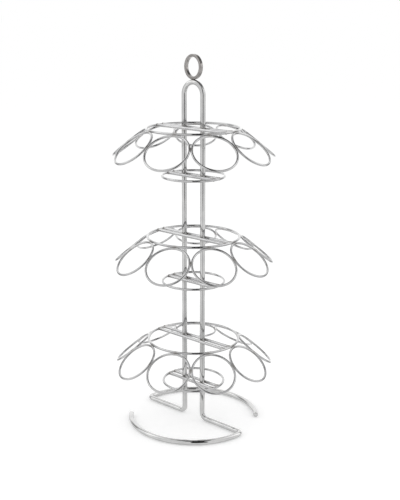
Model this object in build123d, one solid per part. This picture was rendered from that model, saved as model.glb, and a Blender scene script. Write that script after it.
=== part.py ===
from build123d import *
import os
from math import asin, cos, degrees, pi, radians, sin, sqrt

# A free-standing wire stand for single-serve coffee pods, in millimetres.
# +Z is up, the origin is on the floor at the middle of the foot, and the bent frame lies in the XZ plane.

# Wire diameters
FRAME_WIRE = 6.2
TIER_RING_WIRE = 3.0
CROSS_WIRE = 3.8
POD_RING_WIRE = 2.8

# Pod rings: the bore passes a pod's cup and stops its rim
POD_BORE = 47.9
POD_RINGS_PER_TIER = 9
POD_RING_TILT = 39.3
FIRST_POD_RING_ANGLE = 90.0

# Tiers, from the floor up
TIER_NAMES = ("bottom", "middle", "top")
TIER_PITCH = 127.7
LOWER_RING_HEIGHT = 49.5
LOWER_RING_DROP = 55.1
LOWER_RING_RADIUS = 36.9

# Frame, measured to the middle of its wire
UPRIGHT_SPACING = 29.0
ARCH_HEADROOM = 38.2
UPRIGHT_BEND_RADIUS = 7.0
FOOT_RADIUS = 78.0
FOOT_CORNER_RADIUS = 6.0
FOOT_SWEEP = 140.0
FOOT_END_ROUND = 1.2

# Finger ring on top of the arch: a strip with rounded edges, turned a little out of the frame's plane
FINGER_BORE = 22.1
FINGER_STRIP_WIDTH = 4.2
FINGER_STRIP_THICKNESS = 3.2
FINGER_STRIP_ROUND = 0.6
FINGER_RING_TURN = 7.0

# Welds: how far each wire is pressed in where two lie side by side, cross, or meet end on
SIDE_WELD_SET = 0.12
CROSS_WELD_SET = 0.15
BUTT_WELD_SET = 0.35

# Radii that follow from the wires
FRAME_R = FRAME_WIRE / 2
TIER_R = TIER_RING_WIRE / 2
CROSS_R = CROSS_WIRE / 2
POD_R = POD_RING_WIRE / 2
POD_RING_RADIUS = POD_BORE / 2 + POD_R
FINGER_RING_RADIUS = FINGER_BORE / 2 + FINGER_STRIP_THICKNESS

# Heights that follow from the tiers
UPPER_RING_HEIGHT = LOWER_RING_HEIGHT + LOWER_RING_DROP
ARCH_START_HEIGHT = UPPER_RING_HEIGHT + (len(TIER_NAMES) - 1) * TIER_PITCH + ARCH_HEADROOM
ARCH_RADIUS = UPRIGHT_SPACING / 2
APEX_HEIGHT = ARCH_START_HEIGHT + ARCH_RADIUS
FINGER_SEAT_HEIGHT = APEX_HEIGHT + FRAME_R - SIDE_WELD_SET

# The upper ring is as large as the pod rings need to stand side by side around it
HALF_STEP = pi / POD_RINGS_PER_TIER
TILT = radians(POD_RING_TILT)
POD_RING_OFFSET = TIER_R + POD_R - 2 * SIDE_WELD_SET + POD_RING_RADIUS
POD_RING_REACH = POD_RING_RADIUS * sqrt((sin(HALF_STEP) * cos(TILT)) ** 2 + cos(HALF_STEP) ** 2)
POD_CIRCLE_RADIUS = (POD_RING_REACH + POD_R - SIDE_WELD_SET) / sin(HALF_STEP)
UPPER_RING_RADIUS = POD_CIRCLE_RADIUS - POD_RING_OFFSET * cos(TILT)

# The cross wires lie against the uprights
CROSS_WIRE_OFFSET = FRAME_R + CROSS_R - CROSS_WELD_SET


def wire_ring(radius, wire_radius, plane=Plane.XY):
    """A closed ring of round wire, in the given plane."""
    return plane * Torus(radius, wire_radius)


def pressed_flat(wire, origin, outward):
    """The wire with a weld flat: all beyond the plane through origin is taken off."""
    return split(wire, bisect_by=Plane(origin=origin, z_dir=outward), keep=Keep.BOTTOM)


def half_frame():
    """One half of the bent frame wire, from the top of the arch to the foot's free end."""
    corner_x = sqrt((FOOT_RADIUS - FOOT_CORNER_RADIUS) ** 2 - FOOT_CORNER_RADIUS ** 2)
    corner_turn = asin(FOOT_CORNER_RADIUS / (FOOT_RADIUS - FOOT_CORNER_RADIUS))
    apex = Vector(0, 0, APEX_HEIGHT)
    arch_start = Vector(ARCH_RADIUS, 0, ARCH_START_HEIGHT)
    upright_foot = Vector(ARCH_RADIUS, 0, FRAME_R + UPRIGHT_BEND_RADIUS)
    spoke_start = Vector(ARCH_RADIUS + UPRIGHT_BEND_RADIUS, 0, FRAME_R)
    spoke_end = Vector(corner_x, 0, FRAME_R)
    arc_start = Vector(FOOT_RADIUS, 0, FRAME_R).rotate(Axis.Z, -degrees(corner_turn))
    arc_end = Vector(FOOT_RADIUS, 0, FRAME_R).rotate(Axis.Z, -FOOT_SWEEP)
    along_arc = Vector(0, -1, 0).rotate(Axis.Z, -degrees(corner_turn))
    path = Wire(
        [
            TangentArc(apex, arch_start, tangent=(1, 0, 0)),
            Line(arch_start, upright_foot),
            TangentArc(upright_foot, spoke_start, tangent=(0, 0, -1)),
            Line(spoke_start, spoke_end),
            TangentArc(spoke_end, arc_start, tangent=(1, 0, 0)),
            TangentArc(arc_start, arc_end, tangent=along_arc),
        ]
    )
    wire = sweep(Plane(origin=apex, z_dir=(1, 0, 0)) * Circle(FRAME_R), path=path)
    free_end = wire.faces().filter_by(GeomType.PLANE).sort_by(Axis.Z)[0]
    return fillet(free_end.edges(), FOOT_END_ROUND)


def frame_wire():
    """The whole frame: two like halves about the Z axis, with a flat on the arch for the finger ring."""
    half = half_frame()
    frame = half + half.rotate(Axis.Z, 180)
    return pressed_flat(frame, (0, 0, FINGER_SEAT_HEIGHT), (0, 0, 1))


def finger_ring():
    """The strip ring that stands on the arch, with a weld flat under it."""
    centre = (0, 0, FINGER_SEAT_HEIGHT + FINGER_RING_RADIUS - SIDE_WELD_SET)
    through = Vector(0, 1, 0).rotate(Axis.Z, -FINGER_RING_TURN)
    ring = Cylinder(FINGER_RING_RADIUS, FINGER_STRIP_WIDTH) - Cylinder(FINGER_BORE / 2, FINGER_STRIP_WIDTH)
    ring = Plane(origin=centre, z_dir=through) * fillet(ring.edges().filter_by(GeomType.CIRCLE), FINGER_STRIP_ROUND)
    return pressed_flat(ring, (0, 0, FINGER_SEAT_HEIGHT), (0, 0, -1))


def cross_wire_blank(ring_radius, side):
    """A straight cross wire at height zero, long enough to press into the ring's inner side."""
    reach = sqrt((ring_radius - TIER_R) ** 2 - CROSS_WIRE_OFFSET ** 2) + BUTT_WELD_SET
    return Pos(0, side * CROSS_WIRE_OFFSET, 0) * Rot(0, 90, 0) * Cylinder(CROSS_R, 2 * reach)


def cross_wire(ring_radius, side):
    """The cross wire with a hollow where it lies against each upright."""
    wire = cross_wire_blank(ring_radius, side)
    for x in (-ARCH_RADIUS, ARCH_RADIUS):
        wire -= Pos(x, 0, 0) * Cylinder(FRAME_R, 2 * CROSS_WIRE)
    return wire


def plain_ring(ring_radius):
    """A tier's ring at height zero, notched on its inner side for the ends of its cross wires."""
    ring = wire_ring(ring_radius, TIER_R)
    for side in (-1, 1):
        ring -= cross_wire_blank(ring_radius, side)
    return ring


def pod_ring_angles():
    """The direction of each pod ring, in degrees about the Z axis."""
    return [FIRST_POD_RING_ANGLE + k * 360 / POD_RINGS_PER_TIER for k in range(POD_RINGS_PER_TIER)]


def outward_and_down(angle):
    """The direction in which a pod ring leaves the upper ring."""
    return Vector(cos(TILT), 0, -sin(TILT)).rotate(Axis.Z, angle)


def pod_ring_seat(angle):
    """The middle of the weld between the upper ring and the pod ring at this angle."""
    on_ring = Vector(UPPER_RING_RADIUS, 0, 0).rotate(Axis.Z, angle)
    return on_ring + outward_and_down(angle) * (TIER_R - SIDE_WELD_SET)


def upper_ring():
    """A tier's upper ring at height zero, with a weld flat for each pod ring."""
    ring = plain_ring(UPPER_RING_RADIUS)
    for angle in pod_ring_angles():
        ring = pressed_flat(ring, pod_ring_seat(angle), outward_and_down(angle))
    return ring


def pod_ring():
    """A pod ring that leaves the upper ring along +X, with flats for that ring and for both neighbours."""
    out = outward_and_down(0)
    centre = Vector(UPPER_RING_RADIUS, 0, 0) + out * POD_RING_OFFSET
    slope = Plane(origin=centre, x_dir=out, z_dir=out.cross(Vector(0, 1, 0)))
    ring = wire_ring(POD_RING_RADIUS, POD_R, slope)
    ring = pressed_flat(ring, pod_ring_seat(0), -out)
    for side in (-1, 1):
        towards_neighbour = Vector(0, side, 0).rotate(Axis.Z, side * degrees(HALF_STEP))
        ring = pressed_flat(ring, (0, 0, 0), towards_neighbour)
    return ring


def tier():
    """The pieces of one tier, by name, with its upper ring at height zero."""
    drop = Pos(0, 0, -LOWER_RING_DROP)
    pieces = {"upper_ring": upper_ring(), "lower_ring": drop * plain_ring(LOWER_RING_RADIUS)}
    for name, side in (("front", -1), ("back", 1)):
        pieces[f"upper_cross_wire_{name}"] = cross_wire(UPPER_RING_RADIUS, side)
        pieces[f"lower_cross_wire_{name}"] = drop * cross_wire(LOWER_RING_RADIUS, side)
    ring = pod_ring()
    for number, angle in enumerate(pod_ring_angles(), start=1):
        pieces[f"pod_ring_{number}"] = Rot(0, 0, angle) * ring
    return pieces


def stand():
    """Every piece of the stand, by its node name."""
    pieces = {"frame_wire": frame_wire(), "finger_ring": finger_ring()}
    tier_pieces = tier()
    for level, tier_name in enumerate(TIER_NAMES):
        height = UPPER_RING_HEIGHT + level * TIER_PITCH
        for piece_name, piece in tier_pieces.items():
            pieces[f"{tier_name}_{piece_name}"] = Pos(0, 0, height) * piece
    return pieces


os.makedirs("parts", exist_ok=True)
for node, piece in stand().items():
    export_step(piece, f"parts/{node}.step")
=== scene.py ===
"""A chrome-plated wire stand for coffee pods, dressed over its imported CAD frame.

Each wire, and the strip of the finger ring, is bent from its section in edit mode and stands where its CAD
node is. Weld metal is added where they meet. Lengths are in metres, +Z is up and the bent frame lies in the
XZ plane.
"""

import logging
from collections.abc import Callable, Sequence
from dataclasses import dataclass, field
from enum import Enum
from math import asin, ceil, cos, exp, pi, radians, sin, sqrt

import bmesh
import bpy
from mathutils import Euler, Matrix, Vector


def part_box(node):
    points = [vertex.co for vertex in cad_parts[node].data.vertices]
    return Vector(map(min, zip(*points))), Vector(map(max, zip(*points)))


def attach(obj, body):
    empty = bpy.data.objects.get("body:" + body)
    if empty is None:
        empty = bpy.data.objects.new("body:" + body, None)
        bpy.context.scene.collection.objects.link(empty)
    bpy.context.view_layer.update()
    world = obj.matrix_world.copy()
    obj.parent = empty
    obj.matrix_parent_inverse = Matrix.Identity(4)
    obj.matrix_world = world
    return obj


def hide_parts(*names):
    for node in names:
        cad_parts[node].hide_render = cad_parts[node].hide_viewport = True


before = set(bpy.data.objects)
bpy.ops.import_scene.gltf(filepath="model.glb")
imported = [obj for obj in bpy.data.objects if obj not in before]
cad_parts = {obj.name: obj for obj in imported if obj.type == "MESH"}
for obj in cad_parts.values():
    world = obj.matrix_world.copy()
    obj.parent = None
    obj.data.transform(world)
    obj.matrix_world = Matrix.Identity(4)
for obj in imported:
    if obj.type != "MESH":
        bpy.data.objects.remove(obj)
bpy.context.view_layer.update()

BODY = "root"
MM = 0.001
UP = Vector((0, 0, 1))
ALONG_X = Vector((1, 0, 0))
ALONG_Y = Vector((0, 1, 0))
MERGE_DISTANCE = 0.002 * MM
SMOOTH_ANGLE = radians(50)
WELD_ATTRIBUTE = "weld_heat"

log = logging.getLogger("pod_stand")


class TierName(Enum):
    """The three tiers, from the floor up."""

    BOTTOM = "bottom"
    MIDDLE = "middle"
    TOP = "top"


class Level(Enum):
    """The two plain rings of a tier."""

    UPPER = "upper"
    LOWER = "lower"


class Side(Enum):
    """The two sides of the uprights on which cross wires lie, as the sign of Y."""

    FRONT = -1
    BACK = 1


class Slot(Enum):
    """The record's material slots."""

    FRAME = "frame_chrome"
    FINGER_RING = "finger_ring_chrome"
    TIER = "tier_chrome"


class WeldShape(Enum):
    """How weld metal stands round a joint."""

    PINCHED = "between two wires that lie side by side or cross"
    FLARED = "round a wire that ends on another"


# Modelling on the bench


def deselect_all() -> None:
    """Deselects every object, because operators act on all that is selected."""
    bpy.ops.object.select_all(action="DESELECT")


def select_in_edit_mode(mesh: bpy.types.Mesh, wanted: Callable[[Vector], bool]) -> None:
    """Selects vertices by their place, in edit mode.

    Args:
        mesh: the mesh that is being edited.
        wanted: tells from a vertex's place whether it is selected.
    """
    bpy.ops.mesh.select_mode(type="VERT")
    bpy.ops.mesh.select_all(action="DESELECT")
    shape = bmesh.from_edit_mesh(mesh)
    for vertex in shape.verts:
        vertex.select_set(wanted(vertex.co))
    shape.select_flush_mode()
    bmesh.update_edit_mesh(mesh)


def close_and_smooth(piece: bpy.types.Object) -> None:
    """Merges the seams of a piece in edit mode, turns its faces outwards and shades it smooth.

    Args:
        piece: the piece, which leaves edit mode.
    """
    bpy.ops.mesh.select_all(action="SELECT")
    bpy.ops.mesh.remove_doubles(threshold=MERGE_DISTANCE)
    bpy.ops.mesh.normals_make_consistent(inside=False)
    bpy.ops.object.mode_set(mode="OBJECT")
    deselect_all()
    piece.select_set(True)
    bpy.context.view_layer.objects.active = piece
    bpy.ops.object.shade_smooth_by_angle(angle=SMOOTH_ANGLE)


def copy_of(piece: bpy.types.Object, name: str, placement: Matrix) -> bpy.types.Object:
    """Copies a piece with its own mesh and sets the place into the copy's vertices.

    Args:
        piece: the piece that was modelled once.
        name: the copy's name.
        placement: takes the piece's mesh to the copy's place.

    Returns:
        The copy, with its object at the origin.
    """
    copy = piece.copy()
    copy.data = piece.data.copy()
    copy.name = name
    copy.data.name = name
    copy.data.transform(placement)
    bpy.context.scene.collection.objects.link(copy)
    return copy


def placed(x_axis: Vector, y_axis: Vector, z_axis: Vector, origin: Vector) -> Matrix:
    """The matrix with these columns, whose lengths scale what is placed."""
    turn = Matrix((x_axis, y_axis, z_axis)).transposed()
    return Matrix.Translation(origin) @ turn.to_4x4()


@dataclass
class Bender:
    """Bends stock of one section. Its open end stays selected in edit mode, ready for the next step."""

    name: str
    radius: float
    step: float = 1.5 * MM
    step_turn: float = radians(4)
    rim_steps: int = 6

    def start(self, centre: Vector, heading: Vector) -> bpy.types.Object:
        """Adds the section and opens it in edit mode.

        Args:
            centre: the middle of the section.
            heading: the direction in which the stock will grow.

        Returns:
            The new piece.
        """
        deselect_all()
        self.add_section(centre, heading.to_track_quat("Z", "Y").to_euler())
        piece = bpy.context.object
        piece.name = self.name
        piece.data.name = self.name
        bpy.ops.object.transform_apply(location=True, rotation=True, scale=True)
        bpy.ops.object.mode_set(mode="EDIT")
        self.trim_section()
        bpy.ops.mesh.select_all(action="SELECT")
        return piece

    def add_section(self, centre: Vector, rotation: Euler) -> None:
        """Adds the outline of the section, each kind of stock in its own way."""
        raise NotImplementedError

    def trim_section(self) -> None:
        """Leaves the outline as it was added."""

    def run(self, travel: Vector) -> None:
        """Extrudes the open end straight on.

        Args:
            travel: from the run's start to its end.
        """
        steps = ceil(travel.length / self.step)
        for _ in range(steps):
            bpy.ops.mesh.extrude_region_move(TRANSFORM_OT_translate={"value": travel / steps})

    def bend(self, centre: Vector, axis: Vector, turn: float, radius: float) -> None:
        """Spins the open end round a bend.

        Args:
            centre: a point on the bend's axis.
            axis: the bend's axis.
            turn: the right-handed turn about it, in radians. With no window the operator turns left-handed.
            radius: the bend's radius, to the middle of the section.
        """
        steps = ceil(abs(turn) * max(radius / self.step, 1 / self.step_turn))
        bpy.ops.mesh.spin(steps=steps, angle=-turn, center=centre, axis=axis)

    def hoop(self, ring_radius: float) -> bpy.types.Object:
        """Bends a closed ring about the Z axis at height zero.

        Args:
            ring_radius: to the middle of the section.

        Returns:
            The finished ring.
        """
        piece = self.start(ALONG_X * ring_radius, ALONG_Y)
        self.bend(Vector(), UP, 2 * pi, ring_radius)
        close_and_smooth(piece)
        return piece


@dataclass
class WireBender(Bender):
    """Bends one round wire."""

    sides: int = field(kw_only=True)

    def add_section(self, centre: Vector, rotation: Euler) -> None:
        """Adds the round outline of the section.

        Args:
            centre: the middle of the section.
            rotation: turns the section's Z axis to the heading.
        """
        bpy.ops.mesh.primitive_circle_add(
            vertices=self.sides, radius=self.radius, location=centre, rotation=rotation
        )

    def round_off(self, centre: Vector, heading: Vector, end_round: float) -> None:
        """Closes the open end with a rounded rim.

        Args:
            centre: the middle of the open end.
            heading: the direction in which the wire ends.
            end_round: the radius of the rim.
        """
        reach, radius = 0.0, self.radius
        for step in range(1, self.rim_steps + 1):
            around = step / self.rim_steps * pi / 2
            next_reach = end_round * sin(around)
            next_radius = self.radius - end_round * (1 - cos(around))
            travel = heading * (next_reach - reach)
            bpy.ops.mesh.extrude_region_move(TRANSFORM_OT_translate={"value": travel})
            share = next_radius / radius
            bpy.ops.transform.resize(value=(share,) * 3, center_override=centre + heading * next_reach)
            reach, radius = next_reach, next_radius
        bpy.ops.mesh.extrude_region_move()
        bpy.ops.mesh.merge(type="CENTER")


@dataclass
class StripBender(Bender):
    """Bends one strip with rounded edges. Its thickness, twice the radius, lies across the bend's axis."""

    width: float = 4.2 * MM
    edge_round: float = 0.6 * MM

    def add_section(self, centre: Vector, rotation: Euler) -> None:
        """Adds the square outline of the section and stretches it to the strip's width."""
        bpy.ops.mesh.primitive_plane_add(size=2 * self.radius, location=centre, rotation=rotation)
        bpy.context.object.scale.y = self.width / (2 * self.radius)

    def trim_section(self) -> None:
        """Takes the face out of the outline and rounds its corners."""
        bpy.ops.mesh.delete(type="ONLY_FACE")
        bpy.ops.mesh.select_mode(type="VERT")
        bpy.ops.mesh.select_all(action="SELECT")
        bpy.ops.mesh.bevel(offset=self.edge_round, segments=self.rim_steps, affect="VERTICES")


@dataclass(frozen=True)
class WeldSize:
    """The half sizes of a weld's metal: along the wires, across them and from one wire to the other."""

    along: float
    across: float
    between: float
    shape: WeldShape = WeldShape.PINCHED


class Joint(Enum):
    """The kinds of joint between the wires, each with its weld metal."""

    RING_ON_ARCH = WeldSize(4.0 * MM, 1.95 * MM, 1.0 * MM)
    HOOP_ON_RING = WeldSize(3.7 * MM, 1.1 * MM, 0.85 * MM)
    HOOP_ON_HOOP = WeldSize(3.3 * MM, 1.05 * MM, 0.8 * MM)
    WIRE_ON_UPRIGHT = WeldSize(2.7 * MM, 1.85 * MM, 1.2 * MM)
    WIRE_END = WeldSize(2.55 * MM, 2.1 * MM, 1.3 * MM, WeldShape.FLARED)


@dataclass(frozen=True)
class Weld:
    """One weld: its kind, its place and the directions along, across and between its wires."""

    joint: Joint
    place: Vector
    along: Vector
    across: Vector
    between: Vector

    def placement(self) -> Matrix:
        """Finds the place and the size of the weld metal.

        Returns:
            The matrix that takes the unit collar to the joint.
        """
        size = self.joint.value
        along, across = self.along * size.along, self.across * size.across
        return placed(along, across, self.between * size.between, self.place)


@dataclass
class WeldBench:
    """Models each kind of weld collar once and sets copies of it at the joints."""

    sides: int = 24
    waist: float = 0.66
    cuts: int = 5
    level_tolerance: float = 0.01
    unevenness: float = 0.035
    collars: dict[WeldShape, bpy.types.Object] = field(default_factory=dict)

    def girth(self, shape: WeldShape, height: float) -> float:
        """The collar's radius at a height from -1 to 1, as a share of its rim."""
        rise = height if shape is WeldShape.PINCHED else (1 - height) / 2
        return self.waist + (1 - self.waist) * rise * rise

    def model(self, shape: WeldShape) -> bpy.types.Object:
        """Shapes a unit collar about the Z axis from a cylinder.

        Args:
            shape: how the metal stands round the joint.

        Returns:
            The collar, to copy from.
        """
        deselect_all()
        bpy.ops.mesh.primitive_cylinder_add(vertices=self.sides, radius=1, depth=2, end_fill_type="TRIFAN")
        collar = bpy.context.object
        bpy.ops.object.mode_set(mode="EDIT")
        bpy.ops.mesh.select_mode(type="EDGE")
        bpy.ops.mesh.select_all(action="DESELECT")
        rough = bmesh.from_edit_mesh(collar.data)
        for edge in rough.edges:
            low, high = sorted(vertex.co.z for vertex in edge.verts)
            edge.select_set(high - low > 1)
        bmesh.update_edit_mesh(collar.data)
        bpy.ops.mesh.subdivide(number_cuts=self.cuts)
        for cut in range(self.cuts + 2):
            height = 2 * cut / (self.cuts + 1) - 1
            select_in_edit_mode(collar.data, lambda point: abs(point.z - height) < self.level_tolerance)
            share = self.girth(shape, height)
            bpy.ops.transform.resize(value=(share, share, 1), center_override=(0, 0, height))
        bpy.ops.mesh.select_all(action="SELECT")
        bpy.ops.transform.vertex_random(offset=self.unevenness, seed=len(self.collars) + 1)
        close_and_smooth(collar)
        return collar

    def set_welds(self, name: str, welds: Sequence[Weld]) -> bpy.types.Object:
        """Sets a collar at each joint and joins them into one piece.

        Args:
            name: the piece's name.
            welds: the joints.

        Returns:
            The joined piece.
        """
        collars = []
        for number, weld in enumerate(welds):
            shape = weld.joint.value.shape
            if shape not in self.collars:
                self.collars[shape] = self.model(shape)
            collars.append(copy_of(self.collars[shape], f"{name}_{number}", weld.placement()))
        deselect_all()
        for collar in collars:
            collar.select_set(True)
        bpy.context.view_layer.objects.active = collars[0]
        bpy.ops.object.join()
        piece = bpy.context.object
        piece.name = name
        piece.data.name = name
        bpy.ops.object.mode_set(mode="EDIT")
        bpy.ops.mesh.select_all(action="SELECT")
        bpy.ops.mesh.normals_make_consistent(inside=False)
        bpy.ops.object.mode_set(mode="OBJECT")
        return piece

    def put_away(self) -> None:
        """Removes the collars that were only copied from."""
        for collar in self.collars.values():
            bpy.data.objects.remove(collar)
        self.collars.clear()


def mark_welds(piece: bpy.types.Object, places: Sequence[Vector], reach: float) -> None:
    """Writes to each vertex how near it is to a weld, as a value from 0 to 1.

    Args:
        piece: the wire or weld to mark.
        places: the welds on it.
        reach: how far a weld's heat shows.
    """
    attribute = piece.data.attributes.new(WELD_ATTRIBUTE, "FLOAT", "POINT")
    for vertex, value in zip(piece.data.vertices, attribute.data):
        nearest = min((vertex.co - place).length for place in places)
        value.value = exp(-((nearest / reach) ** 2))


# Finishes


@dataclass(frozen=True)
class NodeBoard:
    """Adds nodes to one node tree and links them."""

    tree: bpy.types.NodeTree

    def add(self, kind: str, values: dict[str, object] | None = None, **settings: object) -> bpy.types.Node:
        """Adds a node.

        Args:
            kind: Blender's name for the node type.
            values: the values of its input sockets, by socket name.
            settings: the node's own settings.

        Returns:
            The node.
        """
        node = self.tree.nodes.new(kind)
        for name, value in settings.items():
            setattr(node, name, value)
        for name, value in (values or {}).items():
            node.inputs[name].default_value = value
        return node

    def link(self, start: bpy.types.NodeSocket, end: bpy.types.NodeSocket) -> None:
        """Links an output to an input."""
        self.tree.links.new(start, end)


class PlatingGroup:
    """The node group for plated wire: cloudy brightness, smudged gloss and a faint ripple."""

    name = "plated_wire"
    colours = ("Bright", "Dull")
    numbers = ("Cloud Scale", "Gloss Low", "Gloss High", "Ripple Scale")

    def build(self) -> bpy.types.NodeTree:
        """Builds the group, or takes the one that was built before.

        Returns:
            The group.
        """
        if self.name in bpy.data.node_groups:
            return bpy.data.node_groups[self.name]
        tree = bpy.data.node_groups.new(self.name, "ShaderNodeTree")
        for socket in self.colours:
            tree.interface.new_socket(socket, in_out="INPUT", socket_type="NodeSocketColor")
        for socket in self.numbers:
            tree.interface.new_socket(socket, in_out="INPUT", socket_type="NodeSocketFloat")
        tree.interface.new_socket("Color", in_out="OUTPUT", socket_type="NodeSocketColor")
        tree.interface.new_socket("Roughness", in_out="OUTPUT", socket_type="NodeSocketFloat")
        tree.interface.new_socket("Ripple", in_out="OUTPUT", socket_type="NodeSocketFloat")
        board = NodeBoard(tree)
        given = board.add("NodeGroupInput")
        made = board.add("NodeGroupOutput")
        place = board.add("ShaderNodeTexCoord").outputs["Object"]

        clouds = board.add("ShaderNodeTexNoise", {"Detail": 3.0, "Roughness": 0.6})
        spread = board.add("ShaderNodeMapRange", {"From Min": 0.38, "From Max": 0.62})
        tone = board.add("ShaderNodeMix", data_type="RGBA")
        board.link(place, clouds.inputs["Vector"])
        board.link(given.outputs["Cloud Scale"], clouds.inputs["Scale"])
        board.link(clouds.outputs["Fac"], spread.inputs["Value"])
        board.link(spread.outputs["Result"], tone.inputs["Factor"])
        board.link(given.outputs["Bright"], tone.inputs["A"])
        board.link(given.outputs["Dull"], tone.inputs["B"])
        board.link(tone.outputs["Result"], made.inputs["Color"])

        smudges = board.add("ShaderNodeTexNoise", {"Scale": 190.0, "Detail": 4.0, "Distortion": 0.8})
        gloss = board.add("ShaderNodeMapRange", {"From Min": 0.35, "From Max": 0.7})
        board.link(place, smudges.inputs["Vector"])
        board.link(smudges.outputs["Fac"], gloss.inputs["Value"])
        board.link(given.outputs["Gloss Low"], gloss.inputs["To Min"])
        board.link(given.outputs["Gloss High"], gloss.inputs["To Max"])
        board.link(gloss.outputs["Result"], made.inputs["Roughness"])

        ripple = board.add("ShaderNodeTexNoise", {"Detail": 2.0})
        board.link(place, ripple.inputs["Vector"])
        board.link(given.outputs["Ripple Scale"], ripple.inputs["Scale"])
        board.link(ripple.outputs["Fac"], made.inputs["Ripple"])
        return tree


class WeldHazeGroup:
    """The node group that dulls and browns plating round the welds, from the weld attribute."""

    name = "weld_haze"

    def build(self) -> bpy.types.NodeTree:
        """Builds the group, or takes the one that was built before.

        Returns:
            The group.
        """
        if self.name in bpy.data.node_groups:
            return bpy.data.node_groups[self.name]
        tree = bpy.data.node_groups.new(self.name, "ShaderNodeTree")
        tree.interface.new_socket("Color", in_out="INPUT", socket_type="NodeSocketColor")
        tree.interface.new_socket("Roughness", in_out="INPUT", socket_type="NodeSocketFloat")
        tree.interface.new_socket("Haze", in_out="INPUT", socket_type="NodeSocketColor")
        tree.interface.new_socket("Haze Roughness", in_out="INPUT", socket_type="NodeSocketFloat")
        tree.interface.new_socket("Color", in_out="OUTPUT", socket_type="NodeSocketColor")
        tree.interface.new_socket("Roughness", in_out="OUTPUT", socket_type="NodeSocketFloat")
        board = NodeBoard(tree)
        given = board.add("NodeGroupInput")
        made = board.add("NodeGroupOutput")
        place = board.add("ShaderNodeTexCoord").outputs["Object"]
        heat = board.add("ShaderNodeAttribute", attribute_name=WELD_ATTRIBUTE)
        patches = board.add("ShaderNodeTexNoise", {"Scale": 700.0, "Detail": 3.0})
        spread = board.add("ShaderNodeMapRange", {"From Min": 0.3, "From Max": 0.6, "To Min": 0.55})
        amount = board.add("ShaderNodeMath", operation="MULTIPLY")
        tone = board.add("ShaderNodeMix", data_type="RGBA")
        gloss = board.add("ShaderNodeMix", data_type="FLOAT")
        board.link(place, patches.inputs["Vector"])
        board.link(patches.outputs["Fac"], spread.inputs["Value"])
        board.link(heat.outputs["Fac"], amount.inputs[0])
        board.link(spread.outputs["Result"], amount.inputs[1])
        board.link(amount.outputs["Value"], tone.inputs["Factor"])
        board.link(given.outputs["Color"], tone.inputs["A"])
        board.link(given.outputs["Haze"], tone.inputs["B"])
        board.link(tone.outputs["Result"], made.inputs["Color"])
        board.link(amount.outputs["Value"], gloss.inputs["Factor"])
        board.link(given.outputs["Roughness"], gloss.inputs["A"])
        board.link(given.outputs["Haze Roughness"], gloss.inputs["B"])
        board.link(gloss.outputs["Result"], made.inputs["Roughness"])
        return tree


Colour = tuple[float, float, float, float]


@dataclass(frozen=True)
class Plating:
    """One plated finish."""

    name: str
    bright: Colour
    dull: Colour
    haze: Colour
    gloss_low: float
    gloss_high: float
    haze_roughness: float = 0.35
    cloud_scale: float = 60.0
    ripple_scale: float = 160.0
    ripple_strength: float = 0.05
    ripple_depth: float = 0.05 * MM

    def material(self) -> bpy.types.Material:
        """Builds the material, or takes the one that was built before.

        Returns:
            The material.
        """
        if self.name in bpy.data.materials:
            return bpy.data.materials[self.name]
        material = bpy.data.materials.new(self.name)
        material.use_nodes = True
        board = NodeBoard(material.node_tree)
        shader = material.node_tree.nodes["Principled BSDF"]
        shader.inputs["Metallic"].default_value = 1.0
        plate_values = {
            "Bright": self.bright,
            "Dull": self.dull,
            "Cloud Scale": self.cloud_scale,
            "Gloss Low": self.gloss_low,
            "Gloss High": self.gloss_high,
            "Ripple Scale": self.ripple_scale,
        }
        haze_values = {"Haze": self.haze, "Haze Roughness": self.haze_roughness}
        plating = board.add("ShaderNodeGroup", plate_values, node_tree=PlatingGroup().build())
        haze = board.add("ShaderNodeGroup", haze_values, node_tree=WeldHazeGroup().build())
        bump = board.add("ShaderNodeBump", {"Strength": self.ripple_strength, "Distance": self.ripple_depth})
        board.link(plating.outputs["Color"], haze.inputs["Color"])
        board.link(plating.outputs["Roughness"], haze.inputs["Roughness"])
        board.link(plating.outputs["Ripple"], bump.inputs["Height"])
        board.link(haze.outputs["Color"], shader.inputs["Base Color"])
        board.link(haze.outputs["Roughness"], shader.inputs["Roughness"])
        board.link(bump.outputs["Normal"], shader.inputs["Normal"])
        return material


FRAME_CHROME = Plating(
    name="frame_chrome_plate",
    bright=(0.595, 0.595, 0.59, 1),
    dull=(0.52, 0.52, 0.52, 1),
    haze=(0.22, 0.20, 0.18, 1),
    gloss_low=0.04,
    gloss_high=0.12,
)
TIER_CHROME = Plating(
    name="tier_chrome_plate",
    bright=(0.535, 0.535, 0.535, 1),
    dull=(0.44, 0.44, 0.445, 1),
    haze=(0.22, 0.20, 0.18, 1),
    gloss_low=0.06,
    gloss_high=0.18,
)
FINGER_RING_CHROME = Plating(
    name="finger_ring_chrome_plate",
    bright=(0.385, 0.37, 0.36, 1),
    dull=(0.29, 0.277, 0.268, 1),
    haze=(0.12, 0.11, 0.10, 1),
    gloss_low=0.22,
    gloss_high=0.36,
)


def dress(piece: bpy.types.Object, finish: Plating, replaced: str | None = None) -> None:
    """Gives a piece its finish and its place in the frame, and reports it.

    Args:
        piece: the finished piece.
        finish: its plating.
        replaced: the CAD node that it stands for, if any.
    """
    piece.data.materials.clear()
    piece.data.materials.append(finish.material())
    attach(piece, BODY)
    if replaced:
        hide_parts(replaced)
    log.info("%s: %d faces, %s", piece.name, len(piece.data.polygons), finish.name)


# The stand


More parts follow.
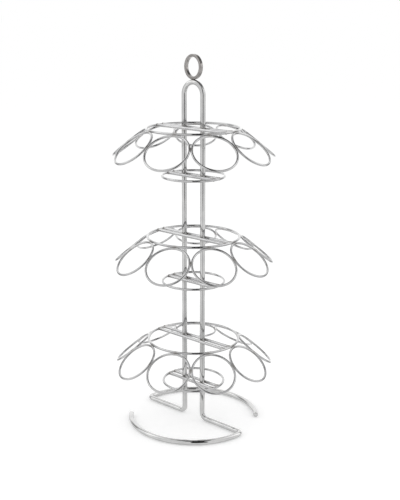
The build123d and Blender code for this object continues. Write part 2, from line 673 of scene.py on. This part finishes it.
@dataclass
class BentFrame:
    """The heavy wire that makes both feet, both uprights and the arch, with the finger ring on top."""

    wire_radius: float = 3.1 * MM
    arch_radius: float = 14.5 * MM
    bend_radius: float = 7 * MM
    corner_radius: float = 6 * MM
    foot_sweep: float = radians(140)
    end_round: float = 1.2 * MM
    strip_thickness: float = 3.2 * MM
    ring_turn: float = radians(7)
    weld_set: float = 0.12 * MM
    heat_reach: float = 3.2 * MM
    metal_reach: float = 6 * MM
    sides: int = 28

    def __post_init__(self) -> None:
        """Takes the other sizes and the heights from the CAD frame."""
        low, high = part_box("frame_wire")
        self.foot_radius = (high.x - low.x) / 2 - self.wire_radius
        self.seat_height = high.z
        self.arch_height = self.seat_height + self.weld_set - self.wire_radius - self.arch_radius
        low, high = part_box("finger_ring")
        outer_radius = (high.z - low.z + self.weld_set) / 2
        self.finger_radius = outer_radius - self.strip_thickness / 2
        self.finger_height = high.z - outer_radius

    def half(self) -> bpy.types.Object:
        """Bends one half of the wire, from the top of the arch to the free end of a foot.

        Returns:
            The half, still open in edit mode.
        """
        floor = self.wire_radius
        corner_x = sqrt((self.foot_radius - self.corner_radius) ** 2 - self.corner_radius**2)
        corner_turn = asin(self.corner_radius / (self.foot_radius - self.corner_radius))
        bend_x = self.arch_radius + self.bend_radius
        sweep = self.foot_sweep - self.end_round / self.foot_radius
        end = Vector((cos(sweep), -sin(sweep), 0)) * self.foot_radius + UP * floor
        heading = Vector((-sin(sweep), -cos(sweep), 0))

        bender = WireBender("bent_frame", self.wire_radius, sides=self.sides)
        piece = bender.start(UP * (self.arch_height + self.arch_radius), ALONG_X)
        bender.bend(UP * self.arch_height, ALONG_Y, pi / 2, self.arch_radius)
        bender.run(-UP * (self.arch_height - floor - self.bend_radius))
        bender.bend(Vector((bend_x, 0, floor + self.bend_radius)), ALONG_Y, -pi / 2, self.bend_radius)
        bender.run(ALONG_X * (corner_x - bend_x))
        corner = Vector((corner_x, -self.corner_radius, floor))
        bender.bend(corner, UP, -pi / 2 - corner_turn, self.corner_radius)
        bender.bend(UP * floor, UP, corner_turn - sweep, self.foot_radius)
        bender.round_off(end, heading, self.end_round)
        return piece

    def build(self, welds: Sequence[Vector], bench: WeldBench) -> None:
        """Builds and dresses the frame, the finger ring and the weld between them.

        Args:
            welds: where the tiers are welded to the uprights.
            bench: makes the weld metal.
        """
        piece = self.half()
        bpy.ops.mesh.select_all(action="SELECT")
        bpy.ops.mesh.duplicate()
        bpy.ops.transform.rotate(value=pi, orient_axis="Z", center_override=(0, 0, 0))
        close_and_smooth(piece)
        seat = UP * self.seat_height
        mark_welds(piece, [*welds, seat], self.heat_reach)
        dress(piece, FRAME_CHROME, "frame_wire")

        ring = StripBender("finger_hoop", self.strip_thickness / 2).hoop(self.finger_radius)
        across = Vector((cos(self.ring_turn), -sin(self.ring_turn), 0))
        through = Vector((sin(self.ring_turn), cos(self.ring_turn), 0))
        ring.data.transform(placed(across, -UP, through, UP * self.finger_height))
        mark_welds(ring, [seat], self.heat_reach)
        dress(ring, FINGER_RING_CHROME, "finger_ring")

        metal = bench.set_welds("finger_hoop_weld", [Weld(Joint.RING_ON_ARCH, seat, across, through, UP)])
        mark_welds(metal, [seat], self.metal_reach)
        dress(metal, FINGER_RING_CHROME)


@dataclass
class Tier:
    """One tier: two plain rings on cross wires, and the sloping hoops that hold the pods."""

    name: TierName
    bent_frame: BentFrame
    hoops: int = 9
    first_angle: float = radians(90)
    tilt: float = radians(39.3)
    side_set: float = 0.12 * MM
    cross_set: float = 0.15 * MM
    end_overlap: float = 0.9 * MM
    end_metal_out: float = 0.5 * MM
    heat_reach: float = 2.4 * MM
    metal_reach: float = 4.5 * MM
    sides: int = 18

    def __post_init__(self) -> None:
        """Takes the sizes and heights of the wires from the CAD frame."""
        self.ring_height: dict[Level, float] = {}
        self.ring_radius: dict[Level, float] = {}
        for level in Level:
            low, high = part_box(self.node(f"{level.value}_ring"))
            self.ring_wire_radius = (high.z - low.z) / 2
            self.ring_height[level] = (high.z + low.z) / 2
            self.ring_radius[level] = (high.x - low.x) / 2 - self.ring_wire_radius
        low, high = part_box(self.node("upper_cross_wire_back"))
        self.cross_wire_radius = (high.z - low.z) / 2
        self.cross_offset = (high.y + low.y) / 2
        low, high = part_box(self.node("pod_ring_1"))
        half_width, half_height = (high.x - low.x) / 2, (high.z - low.z) / 2
        self.hoop_radius = (half_width - half_height) / (1 - sin(self.tilt))
        self.hoop_wire_radius = half_width - self.hoop_radius

    def node(self, piece: str) -> str:
        """The CAD node's name for a piece of this tier."""
        return f"{self.name.value}_{piece}"

    def hoop_angles(self) -> list[float]:
        """The direction of each hoop about the Z axis."""
        return [self.first_angle + number * 2 * pi / self.hoops for number in range(self.hoops)]

    def slope(self, angle: float) -> Vector:
        """The direction in which a hoop leaves the upper ring, outwards and down."""
        return Vector((cos(angle) * cos(self.tilt), sin(angle) * cos(self.tilt), -sin(self.tilt)))

    def sideways(self, angle: float) -> Vector:
        """The level direction across a hoop, along the upper ring."""
        return Vector((-sin(angle), cos(angle), 0))

    def on_upper_ring(self, angle: float) -> Vector:
        """The point on the upper ring's middle line at this angle."""
        radius = self.ring_radius[Level.UPPER]
        return Vector((cos(angle) * radius, sin(angle) * radius, self.ring_height[Level.UPPER]))

    def hoop_centre(self, angle: float) -> Vector:
        """The middle of the hoop at this angle."""
        apart = self.ring_wire_radius + self.hoop_wire_radius - 2 * self.side_set + self.hoop_radius
        return self.on_upper_ring(angle) + self.slope(angle) * apart

    def ring_weld(self, angle: float) -> Weld:
        """The weld between a hoop and the upper ring.

        Args:
            angle: the hoop's direction.

        Returns:
            The weld, on the ring's outer side.
        """
        out, lateral = self.slope(angle), self.sideways(angle)
        place = self.on_upper_ring(angle) + out * (self.ring_wire_radius - self.side_set)
        return Weld(Joint.HOOP_ON_RING, place, lateral, out.cross(lateral), out)

    def neighbour_weld(self, angle: float) -> Weld:
        """The weld between a hoop and the next one round the tier.

        Args:
            angle: the first hoop's direction.

        Returns:
            The weld, where the two hoops touch.
        """
        out, lateral = self.slope(angle), self.sideways(angle)
        towards = self.sideways(angle + pi / self.hoops)
        in_plane = (out * towards.dot(out) + lateral * towards.dot(lateral)).normalized()
        along = out.cross(lateral).cross(in_plane)
        reach = self.hoop_wire_radius - self.side_set
        place = self.hoop_centre(angle) + in_plane * self.hoop_radius + towards * reach
        return Weld(Joint.HOOP_ON_HOOP, place, along, towards.cross(along), towards)

    def crossings(self, level: Level) -> list[Weld]:
        """The welds between the cross wires of one ring and the uprights.

        Args:
            level: the ring.

        Returns:
            The four welds.
        """
        welds = []
        for side in Side:
            for x in (-self.bent_frame.arch_radius, self.bent_frame.arch_radius):
                y = side.value * (self.bent_frame.wire_radius - self.cross_set / 2)
                place = Vector((x, y, self.ring_height[level]))
                welds.append(Weld(Joint.WIRE_ON_UPRIGHT, place, ALONG_X, UP, ALONG_Y))
        return welds

    def wire_end(self, level: Level, side: Side, sign: int) -> Vector:
        """Where a cross wire's middle line meets the ring's inner side.

        Args:
            level: the ring.
            side: the side of the uprights on which the wire lies.
            sign: the wire's end, as the sign of X.

        Returns:
            The point.
        """
        inner = self.ring_radius[level] - self.ring_wire_radius
        reach = sqrt(inner**2 - self.cross_offset**2)
        return Vector((sign * reach, side.value * self.cross_offset, self.ring_height[level]))

    def end_welds(self, level: Level) -> list[Weld]:
        """The welds between the ends of the cross wires and their ring.

        Args:
            level: the ring.

        Returns:
            The four welds.
        """
        welds = []
        for side in Side:
            for sign in (-1, 1):
                inwards = ALONG_X * -sign
                place = self.wire_end(level, side, sign) + inwards * self.end_metal_out
                welds.append(Weld(Joint.WIRE_END, place, ALONG_Y, UP, inwards))
        return welds

    def build_ring(self, level: Level) -> None:
        """Builds and dresses one plain ring.

        Args:
            level: which of the two it is.
        """
        bender = WireBender(self.node(f"{level.value}_hoop"), self.ring_wire_radius, sides=self.sides)
        ring = bender.hoop(self.ring_radius[level])
        ring.data.transform(Matrix.Translation(UP * self.ring_height[level]))
        welds = [weld.place for weld in self.end_welds(level)]
        if level is Level.UPPER:
            welds += [self.ring_weld(angle).place for angle in self.hoop_angles()]
        mark_welds(ring, welds, self.heat_reach)
        dress(ring, TIER_CHROME, self.node(f"{level.value}_ring"))

    def build_cross_wire(self, level: Level, side: Side) -> None:
        """Builds and dresses one cross wire, from ring to ring past both uprights.

        Args:
            level: the ring that it crosses.
            side: the side of the uprights on which it lies.
        """
        part = f"{level.value}_cross_wire_{side.name.lower()}"
        into_ring = ALONG_X * self.end_overlap
        start = self.wire_end(level, side, -1) - into_ring
        end = self.wire_end(level, side, 1) + into_ring
        bender = WireBender(self.node(f"{part}_chromed"), self.cross_wire_radius, sides=self.sides)
        wire = bender.start(start, ALONG_X)
        bpy.ops.mesh.edge_face_add()
        bender.run(end - start)
        close_and_smooth(wire)
        welds = [weld.place for weld in self.crossings(level) + self.end_welds(level)]
        mark_welds(wire, welds, self.heat_reach)
        dress(wire, TIER_CHROME, self.node(part))

    def build_hoops(self) -> None:
        """Bends one pod hoop and sets a copy of it at each place round the upper ring."""
        bender = WireBender("hoop_template", self.hoop_wire_radius, sides=self.sides)
        template = bender.hoop(self.hoop_radius)
        for number, angle in enumerate(self.hoop_angles(), start=1):
            out, lateral = self.slope(angle), self.sideways(angle)
            stand = placed(out, lateral, out.cross(lateral), self.hoop_centre(angle))
            hoop = copy_of(template, self.node(f"pod_hoop_{number}"), stand)
            before = angle - 2 * pi / self.hoops
            welds = [self.ring_weld(angle), self.neighbour_weld(angle), self.neighbour_weld(before)]
            mark_welds(hoop, [weld.place for weld in welds], self.heat_reach)
            dress(hoop, TIER_CHROME, self.node(f"pod_ring_{number}"))
        bpy.data.objects.remove(template)

    def build(self, bench: WeldBench) -> None:
        """Builds and dresses the whole tier.

        Args:
            bench: makes the weld metal.
        """
        for level in Level:
            self.build_ring(level)
            for side in Side:
                self.build_cross_wire(level, side)
        self.build_hoops()
        at_hoops = [self.ring_weld(angle) for angle in self.hoop_angles()]
        at_hoops += [self.neighbour_weld(angle) for angle in self.hoop_angles()]
        at_wires = [weld for level in Level for weld in self.crossings(level) + self.end_welds(level)]
        for part, welds in (("hoop_welds", at_hoops), ("cross_wire_welds", at_wires)):
            metal = bench.set_welds(self.node(part), welds)
            mark_welds(metal, [weld.place for weld in welds], self.metal_reach)
            dress(metal, TIER_CHROME)


# The studio


@dataclass(frozen=True)
class Viewpoint:
    """The photograph's camera, from a fit of the stand to it, in a picture of 400 by 500 pixels."""

    azimuth: float = radians(42.318)
    distance: float = 1.0557
    height: float = 0.4957
    dip: float = radians(14.876)
    focal_length_px: float = 916.93
    axis_x_px: float = 193.46
    picture_px: tuple[int, int] = (400, 500)
    sensor_width: float = 36.0

    def place(self) -> Vector:
        """Where the camera stands."""
        return Vector((self.distance * sin(self.azimuth), -self.distance * cos(self.azimuth), self.height))

    def build(self) -> None:
        """Adds the camera and makes it the scene's."""
        width, height = self.picture_px
        data = bpy.data.cameras.new("photo_camera")
        data.sensor_width = self.sensor_width
        data.lens = self.focal_length_px / height * self.sensor_width
        data.shift_x = (width / 2 - self.axis_x_px) / height
        camera = bpy.data.objects.new("photo_camera", data)
        camera.location = self.place()
        camera.rotation_euler = (pi / 2 - self.dip, 0, self.azimuth)
        bpy.context.scene.collection.objects.link(camera)
        bpy.context.scene.camera = camera


@dataclass(frozen=True)
class StudioCard:
    """A dark or bright card that only reflections see, as a photographer sets round polished metal."""

    name: str
    centre: Vector
    across: Vector
    along: Vector
    shade: float

    def build(self) -> None:
        """Sets the card up from its middle and its two sides."""
        deselect_all()
        bpy.ops.mesh.primitive_plane_add(size=1)
        card = bpy.context.object
        card.name = self.name
        facing = self.across.cross(self.along).normalized()
        card.data.transform(placed(self.across, self.along, facing, self.centre))
        material = bpy.data.materials.new(self.name)
        material.use_nodes = True
        board = NodeBoard(material.node_tree)
        glow = board.add("ShaderNodeEmission", {"Color": (self.shade,) * 3 + (1,), "Strength": 1.0})
        board.link(glow.outputs["Emission"], material.node_tree.nodes["Material Output"].inputs["Surface"])
        card.data.materials.append(material)
        card.visible_camera = False
        card.visible_diffuse = False
        card.visible_shadow = False
        card.visible_transmission = False


@dataclass(frozen=True)
class Flag:
    """A standing card and the strip of floor in front of it, placed by its turn from the camera."""

    name: str
    turn: float
    distance: float
    width: float
    height: float
    shade: float
    strip_shade: float
    strip_start: float = 0.14
    strip_height: float = 0.001

    def build(self, camera_azimuth: float) -> None:
        """Sets up the card and its strip.

        Args:
            camera_azimuth: the direction in which the camera stands.
        """
        azimuth = camera_azimuth + self.turn
        away = Vector((sin(azimuth), -cos(azimuth), 0))
        across = Vector((cos(azimuth), sin(azimuth), 0)) * self.width
        upright = UP * self.height
        strip = away * (self.distance - self.strip_start)
        middle = away * (self.distance + self.strip_start) / 2 + UP * self.strip_height
        StudioCard(f"{self.name}_flag", away * self.distance + upright / 2, across, upright, self.shade).build()
        StudioCard(f"{self.name}_strip", middle, across, strip, self.strip_shade).build()


FRONT_FLAG = Flag(
    "front", turn=radians(9.5), distance=1.25, width=0.62, height=2.3, shade=0.02, strip_shade=0.72
)
LEFT_FLAG = Flag(
    "left", turn=radians(-115), distance=0.5, width=0.2, height=0.55, shade=0.5, strip_shade=0.5
)
RIGHT_FLAG = Flag(
    "right", turn=radians(115), distance=0.5, width=0.2, height=0.55, shade=0.5, strip_shade=0.5
)
# A card and a floor strip that glow brighter than white and are seen only in reflections: they paint highlights
# on the ends of the rings.
BACK_HIGHLIGHT_CARD = Flag(
    "back", turn=radians(180), distance=0.5, width=1.0, height=0.8, shade=1.3, strip_shade=1.3
)


@dataclass(frozen=True)
class Studio:
    """A pale floor in a white studio, lit softly from above."""

    view: Viewpoint
    ring_centre: Vector
    floor_size: float = 60.0
    floor_colour: Colour = (0.9, 0.9, 0.9, 1)
    floor_lift: float = 0.28
    fill: float = 0.8
    softbox_width: float = 1.0
    softbox_height: float = 1.4
    softbox_distance: float = 1.9
    softbox_elevation: float = radians(38)
    softbox_spread: float = radians(95)
    softbox_power: float = 3.0
    ceiling_flag_width: float = 1.3
    ceiling_flag_length: float = 1.9
    # The ring card is dark and seen only in reflections: it paints shade on two parts of the finger ring.
    ring_card_azimuth: float = radians(61)
    ring_card_elevation: float = radians(44)
    ring_card_distance: float = 0.14
    ring_card_width: float = 0.19
    ring_card_height: float = 0.1
    ring_card_shade: float = 0.2

    def background_rays(self, board: NodeBoard) -> bpy.types.NodeSocket:
        """A mask of the rays that see the background: camera, glossy and transmission rays.

        Args:
            board: the node tree that needs the mask.

        Returns:
            The mask's output socket.
        """
        path = board.add("ShaderNodeLightPath")
        metal = board.add("ShaderNodeMath", operation="MAXIMUM")
        seen = board.add("ShaderNodeMath", operation="MAXIMUM")
        board.link(path.outputs["Is Glossy Ray"], metal.inputs[0])
        board.link(path.outputs["Is Transmission Ray"], metal.inputs[1])
        board.link(path.outputs["Is Camera Ray"], seen.inputs[0])
        board.link(metal.outputs["Value"], seen.inputs[1])
        return seen.outputs["Value"]

    def build_world(self) -> None:
        """Makes the studio's walls: white behind the stand, softer as a light."""
        world = bpy.data.worlds.new("studio")
        world.use_nodes = True
        bpy.context.scene.world = world
        board = NodeBoard(world.node_tree)
        light = world.node_tree.nodes["Background"]
        light.inputs["Color"].default_value = (1, 1, 1, 1)
        light.inputs["Strength"].default_value = self.fill
        white = board.add("ShaderNodeBackground", {"Color": (1, 1, 1, 1), "Strength": 1.0})
        choice = board.add("ShaderNodeMixShader")
        board.link(self.background_rays(board), choice.inputs["Fac"])
        board.link(light.outputs["Background"], choice.inputs[1])
        board.link(white.outputs["Background"], choice.inputs[2])
        board.link(choice.outputs["Shader"], world.node_tree.nodes["World Output"].inputs["Surface"])

    def build_floor(self) -> None:
        """Lays the pale floor, lifted to white where no shadow falls."""
        deselect_all()
        bpy.ops.mesh.primitive_plane_add(size=self.floor_size)
        floor = bpy.context.object
        floor.name = "studio_floor"
        material = bpy.data.materials.new("pale_floor")
        material.use_nodes = True
        board = NodeBoard(material.node_tree)
        shader = material.node_tree.nodes["Principled BSDF"]
        shader.inputs["Base Color"].default_value = self.floor_colour
        shader.inputs["Roughness"].default_value = 1.0
        shader.inputs["Specular IOR Level"].default_value = 0.0
        shader.inputs["Emission Color"].default_value = (1, 1, 1, 1)
        lift = board.add("ShaderNodeMath", operation="MULTIPLY")
        lift.inputs[1].default_value = self.floor_lift
        board.link(self.background_rays(board), lift.inputs[0])
        board.link(lift.outputs["Value"], shader.inputs["Emission Strength"])
        floor.data.materials.append(material)

    def build_softbox(self, name: str, azimuth: float) -> None:
        """Sets up one softbox.

        Args:
            name: the lamp's name.
            azimuth: the direction in which it stands.
        """
        data = bpy.data.lights.new(name, "AREA")
        data.shape = "RECTANGLE"
        data.size = self.softbox_width
        data.size_y = self.softbox_height
        data.energy = self.softbox_power
        lamp = bpy.data.objects.new(name, data)
        level = Vector((sin(azimuth), -cos(azimuth), 0))
        away = level * cos(self.softbox_elevation) + UP * sin(self.softbox_elevation)
        lamp.location = away * self.softbox_distance
        lamp.rotation_euler = away.to_track_quat("Z", "Y").to_euler()
        bpy.context.scene.collection.objects.link(lamp)

    def build_cards(self) -> None:
        """Sets up the cards that draw the chrome's dark lines and bright ends, one of them over the stand."""
        for flag in (FRONT_FLAG, LEFT_FLAG, RIGHT_FLAG, BACK_HIGHLIGHT_CARD):
            flag.build(self.view.azimuth)
        azimuth = self.view.azimuth + FRONT_FLAG.turn
        front = Vector((sin(azimuth), -cos(azimuth), 0))
        across = Vector((cos(azimuth), sin(azimuth), 0)) * self.ceiling_flag_width
        middle = front * (FRONT_FLAG.distance - self.ceiling_flag_length / 2) + UP * FRONT_FLAG.height
        along = front * self.ceiling_flag_length
        StudioCard("ceiling_flag", middle, across, along, FRONT_FLAG.shade).build()

    def build_ring_card(self) -> None:
        """Sets up the small dark card behind the finger ring, seen only in reflections, whose reflection paints
        shade on two opposite parts of it.
        """
        level = ALONG_X * cos(self.ring_card_azimuth) + ALONG_Y * sin(self.ring_card_azimuth)
        away = level * cos(self.ring_card_elevation) + UP * sin(self.ring_card_elevation)
        across = away.cross(UP).normalized()
        centre = self.ring_centre + away * self.ring_card_distance
        upright = across.cross(away) * self.ring_card_height
        StudioCard("ring_card", centre, across * self.ring_card_width, upright, self.ring_card_shade).build()

    def build(self) -> None:
        """Builds the studio round the stand."""
        bpy.context.scene.view_settings.view_transform = "Standard"
        self.build_world()
        self.build_floor()
        self.build_softbox("softbox_left", self.view.azimuth - self.softbox_spread)
        self.build_softbox("softbox_right", self.view.azimuth + self.softbox_spread)
        self.build_cards()
        self.build_ring_card()


def main() -> None:
    """Builds the stand and the studio."""
    logging.basicConfig(level=logging.INFO, format="%(name)s: %(message)s")
    bench = WeldBench()
    bent_frame = BentFrame()
    tiers = [Tier(name, bent_frame) for name in TierName]
    upright_welds = [weld.place for tier in tiers for level in Level for weld in tier.crossings(level)]
    bent_frame.build(upright_welds, bench)
    for tier in tiers:
        tier.build(bench)
    bench.put_away()
    view = Viewpoint()
    view.build()
    Studio(view, UP * bent_frame.finger_height).build()


if __name__ == "__main__":
    main()
